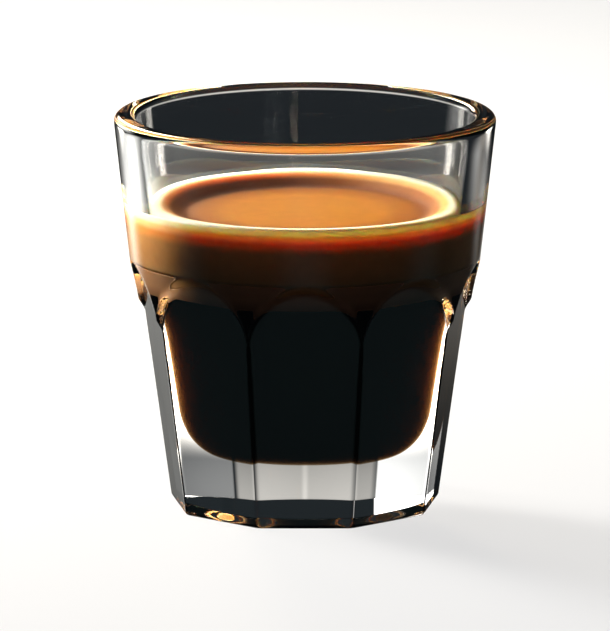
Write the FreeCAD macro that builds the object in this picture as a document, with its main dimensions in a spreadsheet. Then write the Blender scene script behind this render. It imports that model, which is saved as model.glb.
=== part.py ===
import FreeCAD, Part
import math
import os
import Sketcher

# A double espresso in its nine-sided pressed tumbler. Millimetres, +Z up. The origin is the
# centre of the foot, on the surface that the glass stands on, and one flat panel faces -Y.
# The glass is one piece: a plain tapered band at the mouth, nine flat leaning panels with
# arched tops below it, and a thick clear foot. The drink lies in it in three layers: black
# coffee, a brown layer where the foam settles, and the crema. Each layer is cut out of the
# same cavity as the glass, so that it wets the wall all round.

# Driving dimensions: name, value in mm or degrees, and what it is.
SIZES = (
    ("glass_height", 70.5, "foot to the top of the lip"),
    ("rim_diameter", 68.2, "outside of the round blank at the lip"),
    ("base_diameter", 52.8, "outside of the round blank at the foot"),
    ("panel_count", 9, "flat panels round the glass"),
    ("ridge_inset_base", 2.0, "how far the ridges lie inside the blank at the foot"),
    ("ridge_inset_spring", 1.0, "the same where the arches spring"),
    ("spring_height", 33.4, "height where the arches spring from the ridges"),
    ("arch_wall_draft", 35.0, "how far the wall of an arch leans from square"),
    ("foot_round", 0.7, "rounding of the edge that the glass stands on"),
    ("foot_recess_depth", 1.3, "hollow pressed into the underside"),
    ("foot_ring_width", 4.0, "standing ring left round that hollow"),
    ("floor_thickness", 10.4, "solid glass under the drink"),
    ("floor_round", 9.0, "inside corner between floor and wall"),
    ("floor_wall", 7.6, "wall behind a panel, at the floor"),
    ("throat_height", 34.0, "where the inside starts to widen"),
    ("throat_wall", 7.3, "wall behind a panel at that height"),
    ("neck_height", 50.0, "where the inside turns straight again"),
    ("neck_wall", 4.4, "wall of the band at that height"),
    ("rim_wall", 4.0, "wall of the band at the lip"),
    ("throat_blend", 24.0, "rounding of the inside at the throat"),
    ("neck_blend", 24.0, "rounding of the inside at the neck"),
    ("lip_round_outside", 1.3, "rounding of the lip, outside"),
    ("lip_round_inside", 1.4, "rounding of the lip, inside"),
    ("coffee_level", 39.7, "top of the black coffee"),
    ("settling_level", 44.3, "top of the brown layer"),
    ("crema_level", 55.0, "crema where it meets the wall"),
    ("collar_width", 6.4, "raised collar of foam along the wall, with its slope"),
    ("collar_crest", 2.6, "level top of that collar"),
    ("collar_round", 4.5, "rounding of the collar at its crest and its foot"),
    ("collar_height", 2.0, "how far the collar stands over the middle"),
    ("overshoot", 5.0, "how far a cutting shape runs past the faces that it cuts"),
)

# Sizes that follow from the driving ones, kept in the sheet as formulas.
DERIVED = (
    ("rim_radius", "=rim_diameter / 2"),
    ("base_radius", "=base_diameter / 2"),
    ("blank_slope", "=(rim_radius - base_radius) / glass_height"),
    ("half_panel", "=180deg / panel_count"),
    ("ridge_base", "=base_radius - ridge_inset_base"),
    ("ridge_spring", "=base_radius + blank_slope * spring_height - ridge_inset_spring"),
    ("apothem_base", "=ridge_base * cos(half_panel)"),
    ("apothem_spring", "=ridge_spring * cos(half_panel)"),
    ("panel_slope", "=(apothem_spring - apothem_base) / spring_height"),
    ("panel_lean", "=atan(panel_slope)"),
    ("arch_radius", "=ridge_spring * sin(half_panel)"),
    ("spring_along_panel", "=spring_height / cos(panel_lean)"),
    ("floor_radius", "=apothem_base + panel_slope * floor_thickness - floor_wall"),
    ("throat_radius", "=apothem_base + panel_slope * throat_height - throat_wall"),
    ("neck_radius", "=base_radius + blank_slope * neck_height - neck_wall"),
    ("mouth_radius", "=rim_radius - rim_wall"),
    ("mouth_slope", "=(mouth_radius - neck_radius) / (glass_height - neck_height)"),
    ("recess_radius", "=apothem_base - foot_ring_width"),
    ("recess_top_radius", "=recess_radius - foot_recess_depth"),
    ("over_height", "=glass_height + overshoot"),
    ("over_radius", "=mouth_radius + mouth_slope * overshoot"),
    ("panel_reach", "=rim_radius - apothem_base"),
    ("crema_radius", "=neck_radius + mouth_slope * (crema_level - neck_height)"),
    ("crest_radius", "=crema_radius - collar_crest"),
    ("collar_foot_radius", "=crema_radius - collar_width"),
    ("middle_level", "=crema_level - collar_height"),
    ("slab_radius", "=rim_radius + overshoot"),
)

TOUCH = 1e-4  # two coordinates closer than this are the same


def sheet_rows(sheet):
    """Write the driving sizes and the formulas, one row each."""
    row = 1
    for name, value, note in SIZES:
        sheet.set("A%d" % row, name)
        sheet.set("B%d" % row, str(value))
        sheet.set("C%d" % row, note)
        sheet.setAlias("B%d" % row, name)
        row += 1
    for name, formula in DERIVED:
        sheet.set("A%d" % row, name)
        sheet.set("B%d" % row, formula)
        sheet.setAlias("B%d" % row, name)
        row += 1


def value_of(sheet, name):
    """A size as a bare number, in mm or degrees."""
    size = sheet.get(name)
    return getattr(size, "Value", size)


def plane_of(body, role):
    for feature in body.Origin.OriginFeatures:
        if feature.Role == role:
            return feature
    raise ValueError(role + " is missing in " + body.Name)


def new_sketch(body, name, role):
    sketch = body.newObject("Sketcher::SketchObject", name)
    sketch.AttachmentSupport = [(plane_of(body, role), "")]
    sketch.MapMode = "FlatFace"
    return sketch


def tangent_points(before, corner, after, radius):
    """Where an arc of this radius leaves and joins the two sides of a corner, and its centre."""
    back = (before - corner).normalize()
    ahead = (after - corner).normalize()
    half_angle = back.getAngle(ahead) / 2
    reach = radius / math.tan(half_angle)
    middle = (back + ahead).normalize()
    centre = corner + middle * (radius / math.sin(half_angle))
    return corner + back * reach, corner + ahead * reach, centre


def arc_between(start, end, centre, radius):
    """The short arc from start to end, and whether it runs the other way round in the sketch."""
    first = math.atan2(start.y - centre.y, start.x - centre.x)
    last = math.atan2(end.y - centre.y, end.x - centre.x)
    sweep = (last - first) % (2 * math.pi)
    flipped = sweep > math.pi
    if flipped:
        first, last = last, first
    circle = Part.Circle(centre, FreeCAD.Vector(0, 0, 1), radius)
    return Part.ArcOfCircle(circle, first, last), flipped


def tie_corner(sketch, geometry, point, corner):
    """Hold one point of the sketch at the corner's two coordinates."""
    for axis, number, formula in (("DistanceX", *corner[0:2]), ("DistanceY", *corner[2:4])):
        rule = sketch.addConstraint(Sketcher.Constraint(axis, -1, 1, geometry, point, number))
        if formula:
            sketch.setExpression("Constraints[%d]" % rule, formula)


def closed_outline(sketch, sheet, corners):
    """Join corners with straight lines, and round those that name a radius.

    Each corner is (x, x formula, y, y formula, radius name or None). The numbers are where the
    drawing starts, and the formulas hold it there. A rounded corner keeps its sharp point as a
    construction point, which both of its sides run through.
    """
    count = len(corners)
    points = [FreeCAD.Vector(corner[0], corner[2], 0) for corner in corners]
    ends = []
    for index, corner in enumerate(corners):
        if corner[4]:
            radius = value_of(sheet, corner[4])
            after = points[(index + 1) % count]
            ends.append(tangent_points(points[index - 1], points[index], after, radius))
        else:
            ends.append((points[index], points[index], None))
    for index in range(count):
        side = Part.LineSegment(ends[index][1], ends[(index + 1) % count][0])
        sketch.addGeometry(side, False)
    for index, corner in enumerate(corners):
        side_before = (index - 1) % count
        if not corner[4]:
            sketch.addConstraint(Sketcher.Constraint("Coincident", side_before, 2, index, 1))
            tie_corner(sketch, index, 1, corner)
            continue
        leave, join, centre = ends[index]
        arc, flipped = arc_between(leave, join, centre, value_of(sheet, corner[4]))
        arc_number = sketch.addGeometry(arc, False)
        first, last = (2, 1) if flipped else (1, 2)
        sharp = sketch.addGeometry(Part.Point(points[index]), True)
        sketch.addConstraint([
            Sketcher.Constraint("Tangent", side_before, 2, arc_number, first),
            Sketcher.Constraint("Tangent", arc_number, last, index, 1),
            Sketcher.Constraint("PointOnObject", sharp, 1, side_before),
            Sketcher.Constraint("PointOnObject", sharp, 1, index),
        ])
        rule = Sketcher.Constraint("Radius", arc_number, value_of(sheet, corner[4]))
        radius_rule = sketch.addConstraint(rule)
        sketch.setExpression("Constraints[%d]" % radius_rule, "Sizes." + corner[4])
        tie_corner(sketch, sharp, 1, corner)


def revolve(body, sketch, name, kind="PartDesign::Revolution"):
    feature = body.newObject(kind, name)
    feature.Profile = sketch
    feature.ReferenceAxis = (sketch, ["V_Axis"])
    feature.Angle = 360
    return feature


def circles_at(shape, radius, height):
    """Names of the circular edges about the axis at this radius and height."""
    names = []
    for index, edge in enumerate(shape.Edges, start=1):
        if not isinstance(edge.Curve, Part.Circle):
            continue
        same_radius = abs(edge.Curve.Radius - radius) < TOUCH
        same_height = abs(edge.Curve.Center.z - height) < TOUCH
        if same_radius and same_height:
            names.append("Edge%d" % index)
    return names


def round_edges(doc, body, name, edges, size):
    if not edges:
        raise ValueError("no edge found for " + name)
    base = body.Tip
    fillet = body.newObject("PartDesign::Fillet", name)
    fillet.Base = (base, edges)
    fillet.setExpression("Radius", "Sizes." + size)
    body.Tip = fillet
    doc.recompute()
    return fillet


def corner(sheet, x_name, y_name, round_name=None):
    """A corner of an outline whose coordinates are sizes of the sheet, or 0."""
    x_value = value_of(sheet, x_name) if x_name else 0.0
    y_value = value_of(sheet, y_name) if y_name else 0.0
    x_formula = "Sizes." + x_name if x_name else None
    y_formula = "Sizes." + y_name if y_name else None
    return (x_value, x_formula, y_value, y_formula, round_name)


def cavity_corners(sheet):
    """Corners of the inside of the glass, from the middle of the floor to over the lip."""
    return [
        corner(sheet, None, "floor_thickness"),
        corner(sheet, "floor_radius", "floor_thickness", "floor_round"),
        corner(sheet, "throat_radius", "throat_height", "throat_blend"),
        corner(sheet, "neck_radius", "neck_height", "neck_blend"),
        corner(sheet, "over_radius", "over_height"),
        corner(sheet, None, "over_height"),
    ]


def blank_corners(sheet):
    """Half section of the round blank, with the hollow under its foot."""
    return [
        corner(sheet, None, "foot_recess_depth"),
        corner(sheet, "recess_top_radius", "foot_recess_depth"),
        corner(sheet, "recess_radius", None),
        corner(sheet, "base_radius", None),
        corner(sheet, "rim_radius", "glass_height", "lip_round_outside"),
        corner(sheet, None, "glass_height"),
    ]


def panel_outline(sketch, sheet):
    """A tall opening with a half-round top, as wide as one panel where its arch springs."""
    half = value_of(sheet, "arch_radius")
    spring = value_of(sheet, "spring_along_panel")
    low = -value_of(sheet, "overshoot")
    left_side = Part.LineSegment(FreeCAD.Vector(-half, spring, 0), FreeCAD.Vector(-half, low, 0))
    sill = Part.LineSegment(FreeCAD.Vector(-half, low, 0), FreeCAD.Vector(half, low, 0))
    right_side = Part.LineSegment(FreeCAD.Vector(half, low, 0), FreeCAD.Vector(half, spring, 0))
    circle = Part.Circle(FreeCAD.Vector(0, spring, 0), FreeCAD.Vector(0, 0, 1), half)
    arch = Part.ArcOfCircle(circle, 0, math.pi)
    sketch.addGeometry([left_side, sill, right_side, arch], False)
    rules = [
        Sketcher.Constraint("Coincident", 0, 2, 1, 1),
        Sketcher.Constraint("Coincident", 1, 2, 2, 1),
        Sketcher.Constraint("Tangent", 2, 2, 3, 1),
        Sketcher.Constraint("Tangent", 3, 2, 0, 1),
        Sketcher.Constraint("Vertical", 0),
        Sketcher.Constraint("Horizontal", 1),
        Sketcher.Constraint("PointOnObject", 3, 3, -2),
    ]
    sketch.addConstraint(rules)
    sill_rule = sketch.addConstraint(Sketcher.Constraint("DistanceY", 1, 1, -1, 1, -low))
    radius_rule = sketch.addConstraint(Sketcher.Constraint("Radius", 3, half))
    spring_rule = sketch.addConstraint(Sketcher.Constraint("DistanceY", -1, 1, 3, 3, spring))
    sketch.setExpression("Constraints[%d]" % sill_rule, "Sizes.overshoot")
    sketch.setExpression("Constraints[%d]" % radius_rule, "Sizes.arch_radius")
    sketch.setExpression("Constraints[%d]" % spring_rule, "Sizes.spring_along_panel")


def foot_edges(shape, sheet):
    """The edges round the underside of the foot, outside the standing ring."""
    names = []
    inside = value_of(sheet, "recess_radius") + TOUCH
    for index, edge in enumerate(shape.Edges, start=1):
        box = edge.BoundBox
        on_floor = box.ZMax < TOUCH
        middle = edge.valueAt((edge.FirstParameter + edge.LastParameter) / 2)
        if on_floor and math.hypot(middle.x, middle.y) > inside:
            names.append("Edge%d" % index)
    return names


def make_glass(doc, sheet):
    body = doc.addObject("PartDesign::Body", "Glass")
    body.Label = "glass"
    blank_sketch = new_sketch(body, "BlankSection", "XZ_Plane")
    closed_outline(blank_sketch, sheet, blank_corners(sheet))
    blank = revolve(body, blank_sketch, "Blank")
    doc.recompute()

    panel_sketch = new_sketch(body, "PanelOutline", "XZ_Plane")
    tilt = FreeCAD.Rotation(FreeCAD.Vector(1, 0, 0), value_of(sheet, "panel_lean"))
    inset = FreeCAD.Vector(0, 0, value_of(sheet, "apothem_base"))
    panel_sketch.AttachmentOffset = FreeCAD.Placement(inset, tilt)
    panel_sketch.setExpression(".AttachmentOffset.Base.z", "Sizes.apothem_base")
    panel_sketch.setExpression(".AttachmentOffset.Rotation.Angle", "Sizes.panel_lean")
    panel_outline(panel_sketch, sheet)
    panel = body.newObject("PartDesign::Pocket", "Panel")
    panel.Profile = panel_sketch
    panel.Type = "Length"
    panel.setExpression("Length", "Sizes.panel_reach")
    panel.setExpression("TaperAngle", "Sizes.arch_wall_draft")
    panel.Reversed = True
    doc.recompute()
    if panel.Shape.Volume >= blank.Shape.Volume:
        raise ValueError("the panel cuts nothing")

    panels = body.newObject("PartDesign::PolarPattern", "Panels")
    panels.Originals = [panel]
    panels.Axis = (plane_of(body, "Z_Axis"), [""])
    panels.Angle = 360
    panels.setExpression("Occurrences", "Sizes.panel_count")
    body.Tip = panels
    doc.recompute()
    if panels.Shape.Volume >= panel.Shape.Volume:
        raise ValueError("only one panel is cut")
    round_edges(doc, body, "FootRound", foot_edges(body.Tip.Shape, sheet), "foot_round")

    solid_glass = body.Tip.Shape.Volume
    inside_sketch = new_sketch(body, "InsideSection", "XZ_Plane")
    closed_outline(inside_sketch, sheet, cavity_corners(sheet))
    inside = revolve(body, inside_sketch, "Inside", "PartDesign::Groove")
    body.Tip = inside
    doc.recompute()
    if inside.Shape.Volume >= solid_glass:
        raise ValueError("the glass is not hollow")

    top = value_of(sheet, "glass_height")
    inner_lip = circles_at(body.Tip.Shape, value_of(sheet, "mouth_radius"), top)
    round_edges(doc, body, "LipRoundInside", inner_lip, "lip_round_inside")
    return body


def make_drink_space(doc, sheet):
    """The inside of the glass as a solid, from which each layer of the drink is cut."""
    body = doc.addObject("PartDesign::Body", "DrinkSpace")
    body.Label = "drink_space"
    sketch = new_sketch(body, "DrinkSection", "XZ_Plane")
    closed_outline(sketch, sheet, cavity_corners(sheet))
    revolve(body, sketch, "DrinkSolid")
    doc.recompute()
    return body


def make_slab(doc, name, bottom, top):
    """A round slab between two levels, wider than the glass."""
    slab = doc.addObject("Part::Cylinder", name)
    slab.setExpression("Radius", "Sizes.slab_radius")
    if bottom:
        slab.setExpression("Height", "Sizes.%s - Sizes.%s" % (top, bottom))
        slab.setExpression(".Placement.Base.z", "Sizes." + bottom)
    else:
        slab.setExpression("Height", "Sizes." + top)
    return slab


def make_crema_mass(doc, sheet):
    """Everything between the settling layer and the dished top of the foam."""
    body = doc.addObject("PartDesign::Body", "CremaMass")
    body.Label = "crema_mass"
    sketch = new_sketch(body, "CremaSection", "XZ_Plane")
    closed_outline(sketch, sheet, [
        corner(sheet, None, "settling_level"),
        corner(sheet, "slab_radius", "settling_level"),
        corner(sheet, "slab_radius", "crema_level"),
        corner(sheet, "crest_radius", "crema_level", "collar_round"),
        corner(sheet, "collar_foot_radius", "middle_level", "collar_round"),
        corner(sheet, None, "middle_level"),
    ])
    revolve(body, sketch, "CremaSolid")
    doc.recompute()
    return body


def cut_layer(doc, name, drink_space, mass):
    """A layer of the drink: what the drink space and the layer's own mass share."""
    layer = doc.addObject("Part::Common", name.title().replace("_", ""))
    layer.Label = name
    layer.Base = drink_space
    layer.Tool = mass
    return layer


def check(doc, parts):
    """Stop on any failed feature, and on any sub-part that is not one sound solid."""
    for item in doc.Objects:
        if "Invalid" in item.State or "Error" in item.State:
            raise RuntimeError("%s failed: %s" % (item.Name, item.State))
    for part in parts:
        shape = part.Shape
        if shape.isNull() or not shape.isValid():
            raise RuntimeError(part.Label + " has no sound shape")
        if len(shape.Solids) != 1:
            raise RuntimeError("%s is %d solids" % (part.Label, len(shape.Solids)))


def main():
    doc = FreeCAD.newDocument("DoubleEspresso")
    sheet = doc.addObject("Spreadsheet::Sheet", "Sizes")
    sheet_rows(sheet)
    doc.recompute()

    glass = make_glass(doc, sheet)
    drink_space = make_drink_space(doc, sheet)
    coffee_slab = make_slab(doc, "CoffeeSlab", None, "coffee_level")
    settling_slab = make_slab(doc, "SettlingSlab", "coffee_level", "settling_level")
    crema_mass = make_crema_mass(doc, sheet)
    coffee = cut_layer(doc, "coffee", drink_space, coffee_slab)
    settling = cut_layer(doc, "settling_layer", drink_space, settling_slab)
    crema = cut_layer(doc, "crema", drink_space, crema_mass)
    doc.recompute()

    parts = [glass, coffee, settling, crema]
    check(doc, parts)
    os.makedirs("parts", exist_ok=True)
    for part in parts:
        part.Shape.exportStep("parts/%s.step" % part.Label)
        box = part.Shape.BoundBox
        print("%-15s %9.1f mm3  z %.2f to %.2f  radius %.2f" % (
            part.Label, part.Shape.Volume, box.ZMin, box.ZMax, box.XMax))


main()
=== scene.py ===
import functools
import math

import bmesh
import bpy
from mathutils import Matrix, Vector


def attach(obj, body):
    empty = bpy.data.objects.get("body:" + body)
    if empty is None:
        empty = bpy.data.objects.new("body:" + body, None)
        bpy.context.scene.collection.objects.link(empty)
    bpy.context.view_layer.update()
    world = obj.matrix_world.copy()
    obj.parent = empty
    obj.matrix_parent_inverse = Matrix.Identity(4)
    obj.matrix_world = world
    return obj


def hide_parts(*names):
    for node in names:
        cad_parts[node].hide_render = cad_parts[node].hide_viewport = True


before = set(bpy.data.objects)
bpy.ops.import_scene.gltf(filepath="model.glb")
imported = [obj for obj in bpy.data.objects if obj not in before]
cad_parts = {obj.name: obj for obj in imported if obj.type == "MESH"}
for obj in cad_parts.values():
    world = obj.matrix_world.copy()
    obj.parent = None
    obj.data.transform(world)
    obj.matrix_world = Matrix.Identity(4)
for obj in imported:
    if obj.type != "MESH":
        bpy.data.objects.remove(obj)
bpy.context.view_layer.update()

# ---------------------------------------------------------------------------------------------
# The tumbler. One piece of clear soda-lime glass, pressed in a mould and then fire-polished,
# so every ridge and arch is a little soft. A plain band at the lip, nine flat leaning panels
# with arched tops under it, and a thick foot.

MM = 0.001
GLASS_HEIGHT = 70.5 * MM
RIM_RADIUS = 34.1 * MM
BASE_RADIUS = 26.4 * MM
PANEL_COUNT = 9
RIDGE_INSET_BASE = 2.0 * MM
RIDGE_INSET_SPRING = 1.0 * MM
SPRING_HEIGHT = 33.4 * MM
ARCH_WALL_DRAFT = math.radians(35)
FOOT_ROUND = 0.7 * MM
FOOT_RECESS = 1.3 * MM
FOOT_RING = 4.0 * MM
RECESS_ROUND = 0.3 * MM
FLOOR_HEIGHT = 10.4 * MM
FLOOR_ROUND = 9.0 * MM
FLOOR_WALL = 7.6 * MM
THROAT_HEIGHT = 34.0 * MM
THROAT_WALL = 7.3 * MM
NECK_HEIGHT = 50.0 * MM
NECK_WALL = 4.4 * MM
RIM_WALL = 4.0 * MM
INSIDE_BLEND = 24.0 * MM
LIP_ROUND_OUTSIDE = 1.3 * MM
LIP_ROUND_INSIDE = 1.4 * MM
EDGE_SOFTNESS = 0.45 * MM
COLUMNS_PER_PANEL = 32
RIDGE_CROWDING = 0.6
INSIDE_STEPS = 12
LINING_ROW = 4.0 * MM
WALL_PASSES = 6
WALL_PASS_SHARE = 0.6

half_panel = math.pi / PANEL_COUNT
blank_slope = (RIM_RADIUS - BASE_RADIUS) / GLASS_HEIGHT
apothem_base = (BASE_RADIUS - RIDGE_INSET_BASE) * math.cos(half_panel)
ridge_spring = BASE_RADIUS + blank_slope * SPRING_HEIGHT - RIDGE_INSET_SPRING
apothem_spring = ridge_spring * math.cos(half_panel)
panel_slope = (apothem_spring - apothem_base) / SPRING_HEIGHT
panel_lean = math.atan(panel_slope)
arch_radius = ridge_spring * math.sin(half_panel)
spring_along = SPRING_HEIGHT / math.cos(panel_lean)
recess_radius = apothem_base - FOOT_RING
floor_radius = apothem_base + panel_slope * FLOOR_HEIGHT - FLOOR_WALL
throat_radius = apothem_base + panel_slope * THROAT_HEIGHT - THROAT_WALL
neck_radius = BASE_RADIUS + blank_slope * NECK_HEIGHT - NECK_WALL
mouth_radius = RIM_RADIUS - RIM_WALL


def rounded_outline(corners, steps=8):
    """Points (radius, height) of an outline. A corner is (radius, height) or has a rounding."""
    points = []
    for index, corner in enumerate(corners):
        here = Vector(corner[:2])
        if len(corner) < 3:
            points.append(here)
            continue
        back = (Vector(corners[index - 1][:2]) - here).normalized()
        ahead = (Vector(corners[index + 1][:2]) - here).normalized()
        half_angle = back.angle(ahead) / 2
        centre = here + (back + ahead).normalized() * corner[2] / math.sin(half_angle)
        leave = here + back * corner[2] / math.tan(half_angle) - centre
        sweep = leave.angle_signed(ahead * corner[2] / math.tan(half_angle) + here - centre)
        for step in range(steps + 1):
            turned = leave.copy()
            angle = -sweep * step / steps
            turned.x = leave.x * math.cos(angle) - leave.y * math.sin(angle)
            turned.y = leave.x * math.sin(angle) + leave.y * math.cos(angle)
            points.append(centre + turned)
    return points


def filled_in(points, spacing):
    """The same outline with more points, so that no step is longer than spacing(height)."""
    result = [points[0]]
    for start, end in zip(points, points[1:]):
        length = (end - start).length
        count = max(1, math.ceil(length / spacing((start.y + end.y) / 2)))
        for step in range(1, count + 1):
            result.append(start.lerp(end, step / count))
    return result


def lathe(bm, outline, columns):
    """Spin an outline about the axis into a skin of quads."""
    verts = [bm.verts.new((point.x, 0.0, point.y)) for point in outline]
    edges = [bm.edges.new(pair) for pair in zip(verts, verts[1:])]
    bmesh.ops.spin(bm, geom=verts + edges, axis=(0, 0, 1), cent=(0, 0, 0), steps=columns,
                   angle=2 * math.pi, use_merge=True)


def closed_piece(bm, name):
    """Merge the seams, point the faces outward, and make the mesh a smooth object."""
    bmesh.ops.remove_doubles(bm, verts=bm.verts, dist=1e-7)
    bmesh.ops.recalc_face_normals(bm, faces=bm.faces)
    for face in bm.faces:
        face.smooth = True
    mesh = bpy.data.meshes.new(name)
    bm.to_mesh(mesh)
    bm.free()
    piece = bpy.data.objects.new(name, mesh)
    bpy.context.scene.collection.objects.link(piece)
    return piece


def soft_min(a, b, softness):
    """The smaller of two lengths, rounded off where they are nearly the same."""
    near = max(softness - abs(a - b), 0.0) / softness
    return min(a, b) - near * near * softness / 4


def panel_surface(off_centre, height):
    """Radius of one panel, with the leaning wall of its arch, at an angle off its middle.

    The wall's depth moves the point that the depth is measured at, so a few passes settle both.
    """
    across, up = math.cos(panel_lean), math.sin(panel_lean)
    depth = 0.0
    for _ in range(WALL_PASSES):
        radius = (depth + apothem_base * across + height * up) / (math.cos(off_centre) * across)
        sideways = radius * math.sin(off_centre)
        along = height * across + (radius * math.cos(off_centre) - apothem_base) * up
        beyond = math.hypot(sideways, max(along - spring_along, 0.0)) - arch_radius
        outside_arch = beyond if along > spring_along else abs(sideways) - arch_radius
        target = max(outside_arch / math.tan(ARCH_WALL_DRAFT), 0.0)
        depth += (target - depth) * WALL_PASS_SHARE
    return radius


@functools.lru_cache(maxsize=None)
def outer_radius(off_centre, height):
    """Radius of the outside of the glass: the round blank, cut by a panel and the next one."""
    blank = BASE_RADIUS + blank_slope * height
    nearest_cut = panel_surface(off_centre, height)
    next_cut = panel_surface(2 * half_panel - off_centre, height)
    return soft_min(soft_min(nearest_cut, next_cut, EDGE_SOFTNESS), blank, EDGE_SOFTNESS)


def crowd_to_ridges(angle):
    """Move columns towards the ridges, where the glass turns, and away from the flats."""
    turn = (angle + math.pi / 2) / (2 * half_panel)
    nearest = round(turn)
    share = 2 * (turn - nearest)
    share += RIDGE_CROWDING * math.sin(math.pi * share) / math.pi
    return (nearest + share / 2) * 2 * half_panel - math.pi / 2


def turn_to(vert, radius, angle):
    vert.co.x = radius * math.cos(angle)
    vert.co.y = radius * math.sin(angle)


def press_panels(bm):
    """Turn the round blank into the panelled one, from the standing ring up to the band."""
    for vert in bm.verts:
        radius = math.hypot(vert.co.x, vert.co.y)
        if radius < 1e-7:
            continue
        angle = crowd_to_ridges(math.atan2(vert.co.y, vert.co.x))
        blank = BASE_RADIUS + blank_slope * vert.co.z
        if radius > recess_radius + 1e-6 and vert.co.z < SPRING_HEIGHT + 2 * arch_radius:
            share = (radius - recess_radius) / (blank - recess_radius)
            turn = (angle + math.pi / 2) / (2 * half_panel)
            off_centre = round(abs(turn - round(turn)) * 2 * half_panel, 6)
            pressed = outer_radius(off_centre, round(vert.co.z, 7))
            radius = recess_radius + share * (pressed - recess_radius)
        turn_to(vert, radius, angle)


def wall_rows(height):
    """Longest step up the outside wall: fine over the arches and near the foot."""
    if SPRING_HEIGHT - 2 * MM < height < SPRING_HEIGHT + arch_radius + 4 * MM:
        return 0.38 * MM
    return 0.5 * MM if height < 1.5 * MM else 2.2 * MM


def inside_corners():
    """Corners of the inside, from the mouth down to the middle of the floor, with roundings."""
    return [
        (mouth_radius, GLASS_HEIGHT, LIP_ROUND_INSIDE),
        (neck_radius, NECK_HEIGHT, INSIDE_BLEND),
        (throat_radius, THROAT_HEIGHT, INSIDE_BLEND),
        (floor_radius, FLOOR_HEIGHT, FLOOR_ROUND),
        (0.0, FLOOR_HEIGHT),
    ]


def make_tumbler():
    """The pressed outside and the smooth lining, joined round the top of the lip."""
    columns = PANEL_COUNT * COLUMNS_PER_PANEL
    lip_middle = ((RIM_RADIUS + mouth_radius) / 2, GLASS_HEIGHT)
    outside = rounded_outline([
        (0.0, FOOT_RECESS),
        (recess_radius - FOOT_RECESS, FOOT_RECESS, RECESS_ROUND),
        (recess_radius, 0.0, RECESS_ROUND),
        (BASE_RADIUS, 0.0, FOOT_ROUND),
        (RIM_RADIUS, GLASS_HEIGHT, LIP_ROUND_OUTSIDE),
        lip_middle,
    ])
    inside = rounded_outline([lip_middle] + inside_corners(), INSIDE_STEPS)
    skin = bmesh.new()
    lathe(skin, filled_in(outside, wall_rows), columns)
    press_panels(skin)
    lining = bmesh.new()
    lathe(lining, filled_in(inside, lambda height: LINING_ROW), columns)
    for vert in lining.verts:
        radius = math.hypot(vert.co.x, vert.co.y)
        if radius > 1e-7:
            turn_to(vert, radius, crowd_to_ridges(math.atan2(vert.co.y, vert.co.x)))
    joined = bpy.data.meshes.new("lining")
    lining.to_mesh(joined)
    lining.free()
    skin.from_mesh(joined)
    bpy.data.meshes.remove(joined)
    return closed_piece(skin, "tumbler")


def pressed_glass():
    """Clear glass with the faint swell of a pressed and polished surface.

    Light that is already soft, and the light that makes shadows, goes straight through it.
    """
    material = bpy.data.materials.new("pressed_glass")
    material.use_nodes = True
    nodes, links = material.node_tree.nodes, material.node_tree.links
    shader = nodes["Principled BSDF"]
    shader.inputs["Base Color"].default_value = (1.0, 1.0, 1.0, 1.0)
    shader.inputs["Roughness"].default_value = 0.0
    shader.inputs["IOR"].default_value = 1.5
    shader.inputs["Transmission Weight"].default_value = 1.0
    place = nodes.new("ShaderNodeTexCoord")
    swell = nodes.new("ShaderNodeTexNoise")
    swell.inputs["Scale"].default_value = 90.0
    swell.inputs["Detail"].default_value = 1.0
    bump = nodes.new("ShaderNodeBump")
    bump.inputs["Strength"].default_value = 0.04
    bump.inputs["Distance"].default_value = 0.0004
    links.new(place.outputs["Object"], swell.inputs["Vector"])
    links.new(swell.outputs["Fac"], bump.inputs["Height"])
    links.new(bump.outputs["Normal"], shader.inputs["Normal"])
    let_light = nodes.new("ShaderNodeBsdfTransparent")
    let_light.inputs["Color"].default_value = (0.9, 0.9, 0.9, 1.0)
    path = nodes.new("ShaderNodeLightPath")
    seen = shader.outputs["BSDF"]
    for kind in ("Is Diffuse Ray", "Is Shadow Ray"):
        mix = nodes.new("ShaderNodeMixShader")
        links.new(path.outputs[kind], mix.inputs["Fac"])
        links.new(seen, mix.inputs[1])
        links.new(let_light.outputs["BSDF"], mix.inputs[2])
        seen = mix.outputs["Shader"]
    links.new(seen, nodes["Material Output"].inputs["Surface"])
    return material


tumbler = make_tumbler()
tumbler.data.materials.append(pressed_glass())
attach(tumbler, "root")
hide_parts("glass")

# ---------------------------------------------------------------------------------------------
# The black coffee. A liquid that is nearly black through its depth and glows amber where it
# is thin, at its edges. It wets the glass, so it reaches just into the wall.

COFFEE_LEVEL = 39.7 * MM
WETTING = 0.12 * MM
COFFEE_COLUMNS = 128
COFFEE_ROW = 1.0 * MM
FLOOR_EDGE_HEIGHT = FLOOR_HEIGHT + 4 * MM


def inside_line():
    """The inside of the glass from the mouth down, without the rounding of the lip."""
    return rounded_outline([(mouth_radius, GLASS_HEIGHT)] + inside_corners()[1:], INSIDE_STEPS)


def wetted_outline(low, high):
    """The inside of the glass between two levels, a hair larger, from low to high."""
    line = filled_in(inside_line(), lambda height: COFFEE_ROW)
    line.reverse()
    return [Vector((point.x + WETTING, point.y)) if point.x > 0 else point.copy()
            for point in line if low < point.y < high]


def inside_radius(height):
    """Radius of the inside of the glass at a height."""
    line = inside_line()
    for upper, lower in zip(line, line[1:]):
        if lower.y <= height <= upper.y and upper.y > lower.y:
            share = (height - lower.y) / (upper.y - lower.y)
            return lower.x + share * (upper.x - lower.x)
    return floor_radius


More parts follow.
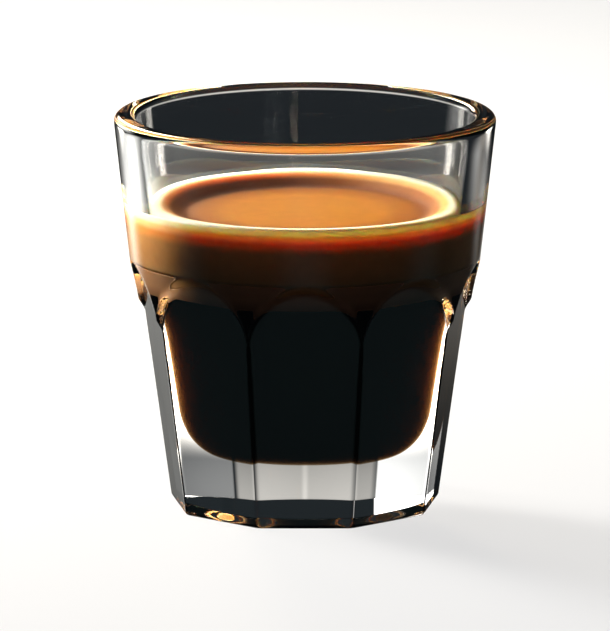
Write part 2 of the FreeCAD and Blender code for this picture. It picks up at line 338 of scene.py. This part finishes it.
def make_coffee():
    """The coffee's outline, sunk a hair into the wall and the floor, spun about the axis."""
    line = [Vector((0.0, FLOOR_HEIGHT - WETTING))]
    for point in wetted_outline(FLOOR_HEIGHT - 1e-9, COFFEE_LEVEL):
        if point.x > 0:
            sink = WETTING if point.y < FLOOR_EDGE_HEIGHT else 0.0
            line.append(Vector((point.x, point.y - sink)))
    line.append(Vector((inside_radius(COFFEE_LEVEL) + WETTING, COFFEE_LEVEL)))
    line.append(Vector((0.0, COFFEE_LEVEL)))
    bm = bmesh.new()
    lathe(bm, line, COFFEE_COLUMNS)
    return closed_piece(bm, "black_coffee")


def faint_haze(material):
    """Coffee oils and fines: a barely seen variation in how clear the surface is."""
    nodes, links = material.node_tree.nodes, material.node_tree.links
    place = nodes.new("ShaderNodeTexCoord")
    haze = nodes.new("ShaderNodeTexNoise")
    haze.inputs["Scale"].default_value = 150.0
    links.new(place.outputs["Object"], haze.inputs["Vector"])
    tint = nodes.new("ShaderNodeMix")
    tint.data_type = "RGBA"
    tint.inputs["A"].default_value = (0.97, 0.95, 0.92, 1.0)
    tint.inputs["B"].default_value = (1.0, 1.0, 1.0, 1.0)
    links.new(haze.outputs["Fac"], tint.inputs["Factor"])
    links.new(tint.outputs["Result"], nodes["Principled BSDF"].inputs["Base Color"])


def coffee_material():
    """Clear at its surface and strongly absorbing through its depth, blue first and red last."""
    material = bpy.data.materials.new("coffee")
    material.use_nodes = True
    nodes, links = material.node_tree.nodes, material.node_tree.links
    shader = nodes["Principled BSDF"]
    shader.inputs["Roughness"].default_value = 0.0
    shader.inputs["IOR"].default_value = 1.0
    shader.inputs["Transmission Weight"].default_value = 1.0
    faint_haze(material)
    body = nodes.new("ShaderNodeVolumeAbsorption")
    body.inputs["Color"].default_value = (0.67, 0.575, 0.44, 1.0)
    body.inputs["Density"].default_value = 1000.0
    links.new(body.outputs["Volume"], nodes["Material Output"].inputs["Volume"])
    return material


def wetted_wall():
    """Glass against coffee. The liquid takes the place of air, so the surface hardly bends light."""
    material = bpy.data.materials.new("wetted_wall")
    material.use_nodes = True
    shader = material.node_tree.nodes["Principled BSDF"]
    shader.inputs["Roughness"].default_value = 0.0
    shader.inputs["IOR"].default_value = 1.0
    shader.inputs["Transmission Weight"].default_value = 1.0
    faint_haze(material)
    return material


def wet_the_wall():
    """Give the inside of the tumbler its wetted surface, up to the level of the coffee."""
    tumbler.data.materials.append(wetted_wall())
    for face in tumbler.data.polygons:
        radius = math.hypot(face.center.x, face.center.y)
        low = FLOOR_HEIGHT - WETTING < face.center.z < COFFEE_LEVEL
        if low and radius < inside_radius(face.center.z) + WETTING:
            face.material_index = 1


wet_the_wall()
coffee = make_coffee()
coffee.data.materials.append(coffee_material())
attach(coffee, "root")
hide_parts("coffee")

# ---------------------------------------------------------------------------------------------
# The settling layer. Wet brown foam between the coffee and the crema, where the crema slowly
# turns back into coffee. It lies on the coffee and clings to the glass all round.

SETTLING_LEVEL = 44.3 * MM
FOAM_COLUMNS = 160
FOAM_STEP = 0.01 * MM


def make_layer(name, low, high, top):
    """A layer of the drink between two levels, closed by the points of its top."""
    line = [Vector((0.0, low)), Vector((inside_radius(low) + WETTING, low))]
    line += wetted_outline(low + FOAM_STEP, high)
    line += top
    bm = bmesh.new()
    lathe(bm, line, FOAM_COLUMNS)
    return closed_piece(bm, name)


def ramp_node(nodes, stops):
    """A colour ramp with smooth steps through (place, colour) stops."""
    node = nodes.new("ShaderNodeValToRGB")
    ramp = node.color_ramp
    ramp.interpolation = "EASE"
    ramp.elements[0].position, ramp.elements[0].color = stops[0][0], (*stops[0][1], 1)
    ramp.elements[1].position, ramp.elements[1].color = stops[-1][0], (*stops[-1][1], 1)
    for place, colour in stops[1:-1]:
        ramp.elements.new(place).color = (*colour, 1)
    return node


def span_node(nodes, low, high):
    """A node that turns low to high into 0 to 1."""
    node = nodes.new("ShaderNodeMapRange")
    node.inputs["From Min"].default_value = low
    node.inputs["From Max"].default_value = high
    return node


def foam_shader(material, glow, roughness):
    """Foam lets light in as deep as its glow, red light deepest."""
    shader = material.node_tree.nodes["Principled BSDF"]
    shader.inputs["Roughness"].default_value = roughness
    shader.inputs["IOR"].default_value = 1.34
    shader.inputs["Subsurface Weight"].default_value = 1.0
    shader.inputs["Subsurface Radius"].default_value = (1.0, 0.72, 0.42)
    shader.inputs["Subsurface Scale"].default_value = glow
    return shader


def settled_foam():
    """Brown wet foam, paler at its top where the crema is drawn down into it."""
    material = bpy.data.materials.new("settled_foam")
    material.use_nodes = True
    nodes, links = material.node_tree.nodes, material.node_tree.links
    shader = foam_shader(material, 1.0 * MM, 0.9)
    place = nodes.new("ShaderNodeTexCoord")
    parts = nodes.new("ShaderNodeSeparateXYZ")
    height = span_node(nodes, COFFEE_LEVEL, SETTLING_LEVEL)
    colours = ramp_node(nodes, [
        (0.0, (0.12, 0.055, 0.02)),
        (0.5, (0.22, 0.11, 0.05)),
        (1.0, (0.26, 0.13, 0.06)),
    ])
    links.new(place.outputs["Object"], parts.inputs["Vector"])
    links.new(parts.outputs["Z"], height.inputs["Value"])
    links.new(height.outputs["Result"], colours.inputs["Fac"])
    links.new(colours.outputs["Color"], shader.inputs["Base Color"])
    return material


settling = make_layer("settling_band", COFFEE_LEVEL, SETTLING_LEVEL, [
    Vector((inside_radius(SETTLING_LEVEL) + WETTING, SETTLING_LEVEL)),
    Vector((0.0, SETTLING_LEVEL)),
])
settling.data.materials.append(settled_foam())
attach(settling, "root")
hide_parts("settling_layer")

# ---------------------------------------------------------------------------------------------
# The crema. Fine golden foam, held up by the coffee and drawn a little up the glass, so that
# a soft raised collar runs round a flat middle. Light is painted into its colour: a pale lit
# crest at the rim, a painted shadow ring inside the collar, and a glow painted down its side.

CREMA_LEVEL = 55.0 * MM
COLLAR_WIDTH = 6.4 * MM
COLLAR_CREST = 2.6 * MM
COLLAR_ROUND = 4.5 * MM
COLLAR_HEIGHT = 2.0 * MM
TOP_SPAN = 28.0 * MM
WALL_TAPER = 0.18
WALL_START = 24.0 * MM - WALL_TAPER * SETTLING_LEVEL
WALL_BLEND = 0.4 * MM
TOP_ROUGHNESS = 0.3
WALL_ROUGHNESS = 0.9


def golden_crema():
    """Foam, gold on top and tan down its side, with light painted into its colour.

    On top, the pale cream rim is a painted highlight on the lit crest, and the dark ring is a
    painted shadow inside the collar. Down the side, a painted glow runs from cream at the top to
    brown below.
    """
    material = bpy.data.materials.new("golden_crema")
    material.use_nodes = True
    nodes, links = material.node_tree.nodes, material.node_tree.links
    shader = foam_shader(material, 6.0 * MM, TOP_ROUGHNESS)
    place = nodes.new("ShaderNodeTexCoord")
    parts = nodes.new("ShaderNodeSeparateXYZ")
    links.new(place.outputs["Object"], parts.inputs["Vector"])
    flat = nodes.new("ShaderNodeCombineXYZ")
    links.new(parts.outputs["X"], flat.inputs["X"])
    links.new(parts.outputs["Y"], flat.inputs["Y"])
    radius = nodes.new("ShaderNodeVectorMath")
    radius.operation = "LENGTH"
    links.new(flat.outputs["Vector"], radius.inputs[0])
    across = span_node(nodes, 0.0, TOP_SPAN)
    links.new(radius.outputs["Value"], across.inputs["Value"])
    # Painted light across the top: gold in the middle, a painted shadow ring on the collar's inner
    # slope, and a painted highlight that makes the cream crest at the wall.
    top_gold_with_painted_light = ramp_node(nodes, [
        (0.0, (0.58, 0.22, 0.02)),
        (0.48, (0.55, 0.20, 0.018)),
        (0.66, (0.40, 0.13, 0.015)),
        (0.78, (0.26, 0.08, 0.02)),
        (0.84, (0.34, 0.11, 0.02)),
        (0.89, (0.74, 0.38, 0.10)),
        (0.94, (0.93, 0.74, 0.45)),
    ])
    links.new(across.outputs["Result"], top_gold_with_painted_light.inputs["Fac"])
    # Painted glow down the side: light from above is painted in, from cream at the top through
    # orange to tan-brown lower down.
    height = span_node(nodes, SETTLING_LEVEL, CREMA_LEVEL)
    links.new(parts.outputs["Z"], height.inputs["Value"])
    side_tan_with_painted_glow = ramp_node(nodes, [
        (0.0, (0.38, 0.18, 0.06)),
        (0.55, (0.48, 0.23, 0.07)),
        (0.72, (0.74, 0.30, 0.07)),
        (0.84, (0.93, 0.58, 0.24)),
        (0.93, (0.95, 0.80, 0.55)),
    ])
    links.new(height.outputs["Result"], side_tan_with_painted_glow.inputs["Fac"])
    leaning = nodes.new("ShaderNodeMath")
    leaning.operation = "MULTIPLY_ADD"
    leaning.inputs[1].default_value = -WALL_TAPER
    links.new(parts.outputs["Z"], leaning.inputs[0])
    links.new(radius.outputs["Value"], leaning.inputs[2])
    wall = span_node(nodes, WALL_START, WALL_START + WALL_BLEND)
    links.new(leaning.outputs["Value"], wall.inputs["Value"])
    both = nodes.new("ShaderNodeMix")
    both.data_type = "RGBA"
    links.new(wall.outputs["Result"], both.inputs["Factor"])
    links.new(top_gold_with_painted_light.outputs["Color"], both.inputs["A"])
    links.new(side_tan_with_painted_glow.outputs["Color"], both.inputs["B"])
    mottle = nodes.new("ShaderNodeTexNoise")
    mottle.inputs["Scale"].default_value = 420.0
    mottle.inputs["Detail"].default_value = 4.0
    links.new(place.outputs["Object"], mottle.inputs["Vector"])
    shade = span_node(nodes, 0.3, 0.7)
    shade.inputs["To Min"].default_value = 0.94
    shade.inputs["To Max"].default_value = 1.06
    links.new(mottle.outputs["Fac"], shade.inputs["Value"])
    uneven = nodes.new("ShaderNodeVectorMath")
    uneven.operation = "SCALE"
    links.new(both.outputs["Result"], uneven.inputs[0])
    links.new(shade.outputs["Result"], uneven.inputs["Scale"])
    links.new(uneven.outputs["Vector"], shader.inputs["Base Color"])
    gloss = span_node(nodes, 0.0, 1.0)
    gloss.inputs["To Min"].default_value = TOP_ROUGHNESS
    gloss.inputs["To Max"].default_value = WALL_ROUGHNESS
    links.new(wall.outputs["Result"], gloss.inputs["Value"])
    links.new(gloss.outputs["Result"], shader.inputs["Roughness"])
    return material


crema_radius = inside_radius(CREMA_LEVEL)
crema_top = rounded_outline([
    (crema_radius + WETTING, CREMA_LEVEL),
    (crema_radius - COLLAR_CREST, CREMA_LEVEL, COLLAR_ROUND),
    (crema_radius - COLLAR_WIDTH, CREMA_LEVEL - COLLAR_HEIGHT, COLLAR_ROUND),
    (0.0, CREMA_LEVEL - COLLAR_HEIGHT),
])
crema = make_layer("crema_foam", SETTLING_LEVEL, CREMA_LEVEL, crema_top)
crema.data.materials.append(golden_crema())
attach(crema, "root")
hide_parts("crema")

# ---------------------------------------------------------------------------------------------
# Floor, light and camera. A plain pale table and backdrop, with one strong softbox behind the
# glass on the left. Dim plates behind and under it show in the clear glass, and thin bright
# strips on both sides draw the amber edges of the coffee.

LAMP_TARGET = Vector((0.0, 0.0, 35.0 * MM))


def plain_floor():
    """A wide pale table. It stays out of the light inside the glass, so lamps can stand below it."""
    mesh = bpy.data.meshes.new("floor")
    bm = bmesh.new()
    bmesh.ops.create_circle(bm, cap_ends=True, segments=96, radius=3.0)
    bm.to_mesh(mesh)
    bm.free()
    floor = bpy.data.objects.new("floor", mesh)
    bpy.context.scene.collection.objects.link(floor)
    material = bpy.data.materials.new("floor_paint")
    material.use_nodes = True
    shader = material.node_tree.nodes["Principled BSDF"]
    shader.inputs["Base Color"].default_value = (0.12, 0.12, 0.12, 1)
    shader.inputs["Roughness"].default_value = 1.0
    shader.inputs["Emission Color"].default_value = (1, 1, 1, 1)
    shader.inputs["Emission Strength"].default_value = 0.7
    mesh.materials.append(material)
    floor.visible_transmission = False
    floor.visible_glossy = False
    floor.visible_diffuse = False
    floor.visible_shadow = False


def soft_light(name, azimuth, elevation, distance, width, height, power, colour=(1, 1, 1)):
    """A softbox that faces the drink. Azimuth is counted from behind it, clockwise from above."""
    data = bpy.data.lights.new(name, "AREA")
    data.shape = "RECTANGLE"
    data.size = width
    data.size_y = height
    data.energy = power
    data.color = colour
    data.use_nodes = True
    nodes, links = data.node_tree.nodes, data.node_tree.links
    parts = nodes.new("ShaderNodeSeparateXYZ")
    links.new(nodes.new("ShaderNodeNewGeometry").outputs["Parametric"], parts.inputs["Vector"])
    fade = nodes.new("ShaderNodeMath")
    fade.operation = "MULTIPLY"
    for axis in range(2):
        from_edge = nodes.new("ShaderNodeMath")
        from_edge.operation = "PINGPONG"
        from_edge.inputs[1].default_value = 0.5
        links.new(parts.outputs[axis], from_edge.inputs[0])
        soft_edge = span_node(nodes, 0.0, 0.5)
        soft_edge.interpolation_type = "SMOOTHSTEP"
        links.new(from_edge.outputs["Value"], soft_edge.inputs["Value"])
        links.new(soft_edge.outputs["Result"], fade.inputs[axis])
    links.new(fade.outputs["Value"], nodes["Emission"].inputs["Strength"])
    lamp = bpy.data.objects.new(name, data)
    lamp.visible_camera = False
    turn, rise = math.radians(azimuth), math.radians(elevation)
    lamp.location = LAMP_TARGET + distance * Vector((
        math.sin(turn) * math.cos(rise), math.cos(turn) * math.cos(rise), math.sin(rise)))
    lamp.rotation_euler = (lamp.location - LAMP_TARGET).to_track_quat("Z", "Y").to_euler()
    bpy.context.scene.collection.objects.link(lamp)
    return lamp


def studio_world():
    """White behind the table for the camera, and nearly black in the glass."""
    world = bpy.data.worlds.new("studio")
    bpy.context.scene.world = world
    world.use_nodes = True
    nodes, links = world.node_tree.nodes, world.node_tree.links
    dark = nodes["Background"]
    dark.inputs["Color"].default_value = (0.0135, 0.0165, 0.019, 1)
    dark.inputs["Strength"].default_value = 1.0
    pale = nodes.new("ShaderNodeBackground")
    pale.inputs["Color"].default_value = (1, 1, 1, 1)
    pale.inputs["Strength"].default_value = 1.0
    path = nodes.new("ShaderNodeLightPath")
    mix = nodes.new("ShaderNodeMixShader")
    links.new(path.outputs["Is Camera Ray"], mix.inputs["Fac"])
    links.new(dark.outputs["Background"], mix.inputs[1])
    links.new(pale.outputs["Background"], mix.inputs[2])
    links.new(mix.outputs["Shader"], nodes["World Output"].inputs["Surface"])


plain_floor()

# The strong light of the foam, and a wide dimmer box that shows in the rim and the foot.
key = soft_light("key_left_back", -50, 21, 0.6, 0.24, 0.24, 75.0, (1.0, 0.97, 0.92))
key.visible_transmission = False
key.visible_glossy = False
soft_light("softbox_left_back", -42, 8, 0.6, 0.40, 0.30, 2.4, (1.0, 0.98, 0.94))

# A warm sheen on the right of the crema's collar.
sheen = soft_light("sheen_back", -16, 26, 0.6, 0.12, 0.36, 10.0, (1.0, 0.87, 0.66))
sheen.visible_transmission = False

# Dim plates seen through the plain band, pale on the left and darker on the right.
soft_light("low_left_back", -32, -15, 0.6, 0.42, 0.24, 0.46, (1.0, 0.99, 0.93))
soft_light("low_right_back", 26, -14, 0.6, 0.26, 0.08, 0.015, (1.0, 0.88, 0.72))

# Bright strips seen through the edges of the coffee.
soft_light("inner_strip_left", -38, -3.4, 0.3, 0.09, 0.045, 0.26, (1.0, 0.95, 0.86))
soft_light("inner_strip_right", 38, -3.4, 0.3, 0.09, 0.045, 0.26, (1.0, 0.95, 0.86))

# Plates seen through the foot: bright in its right panel, grey in the left one and the middle.
soft_light("foot_plate_left", -39, -9, 0.3, 0.12, 0.05, 0.03, (1.0, 1.0, 0.98))
soft_light("foot_plate_right", 39, -9, 0.3, 0.12, 0.05, 0.007, (1.0, 1.0, 0.98))
soft_light("table_glow", 0, -11.5, 0.3, 0.30, 0.06, 0.045, (1.0, 0.96, 0.89))

# A little warm light on the front of the foam, and a cool sheen on the panels.
soft_light("front_fill", 180, 50, 0.8, 0.5, 0.5, 2.4, (1.0, 0.45, 0.25))
soft_light("front_low", 180, -25, 0.6, 0.5, 0.4, 0.07, (0.6, 0.95, 1.0))
soft_light("side_low_left", -96, -23, 0.6, 0.4, 0.4, 0.05, (0.6, 0.95, 1.0))
soft_light("side_low_right", 96, -23, 0.6, 0.4, 0.4, 0.05, (0.6, 0.95, 1.0))
studio_world()

CAMERA_DISTANCE = 1.38
CAMERA_ELEVATION = math.radians(11.4)
CAMERA_AIM = Vector((0.0, 0.0, 33.8 * MM))
FIELD_WIDTH = 108.9 * MM

camera_data = bpy.data.cameras.new("camera")
camera_data.sensor_fit = "HORIZONTAL"
camera_data.sensor_width = 36.0
camera_data.lens = 36.0 * CAMERA_DISTANCE / FIELD_WIDTH
camera_data.clip_start = 0.05
camera = bpy.data.objects.new("camera", camera_data)
camera.location = CAMERA_AIM + CAMERA_DISTANCE * Vector((
    0.0, -math.cos(CAMERA_ELEVATION), math.sin(CAMERA_ELEVATION)))
camera.rotation_euler = (camera.location - CAMERA_AIM).to_track_quat("Z", "Y").to_euler()
bpy.context.scene.collection.objects.link(camera)
bpy.context.scene.camera = camera
bpy.context.scene.view_settings.view_transform = "Standard"
bpy.context.scene.view_settings.look = "None"
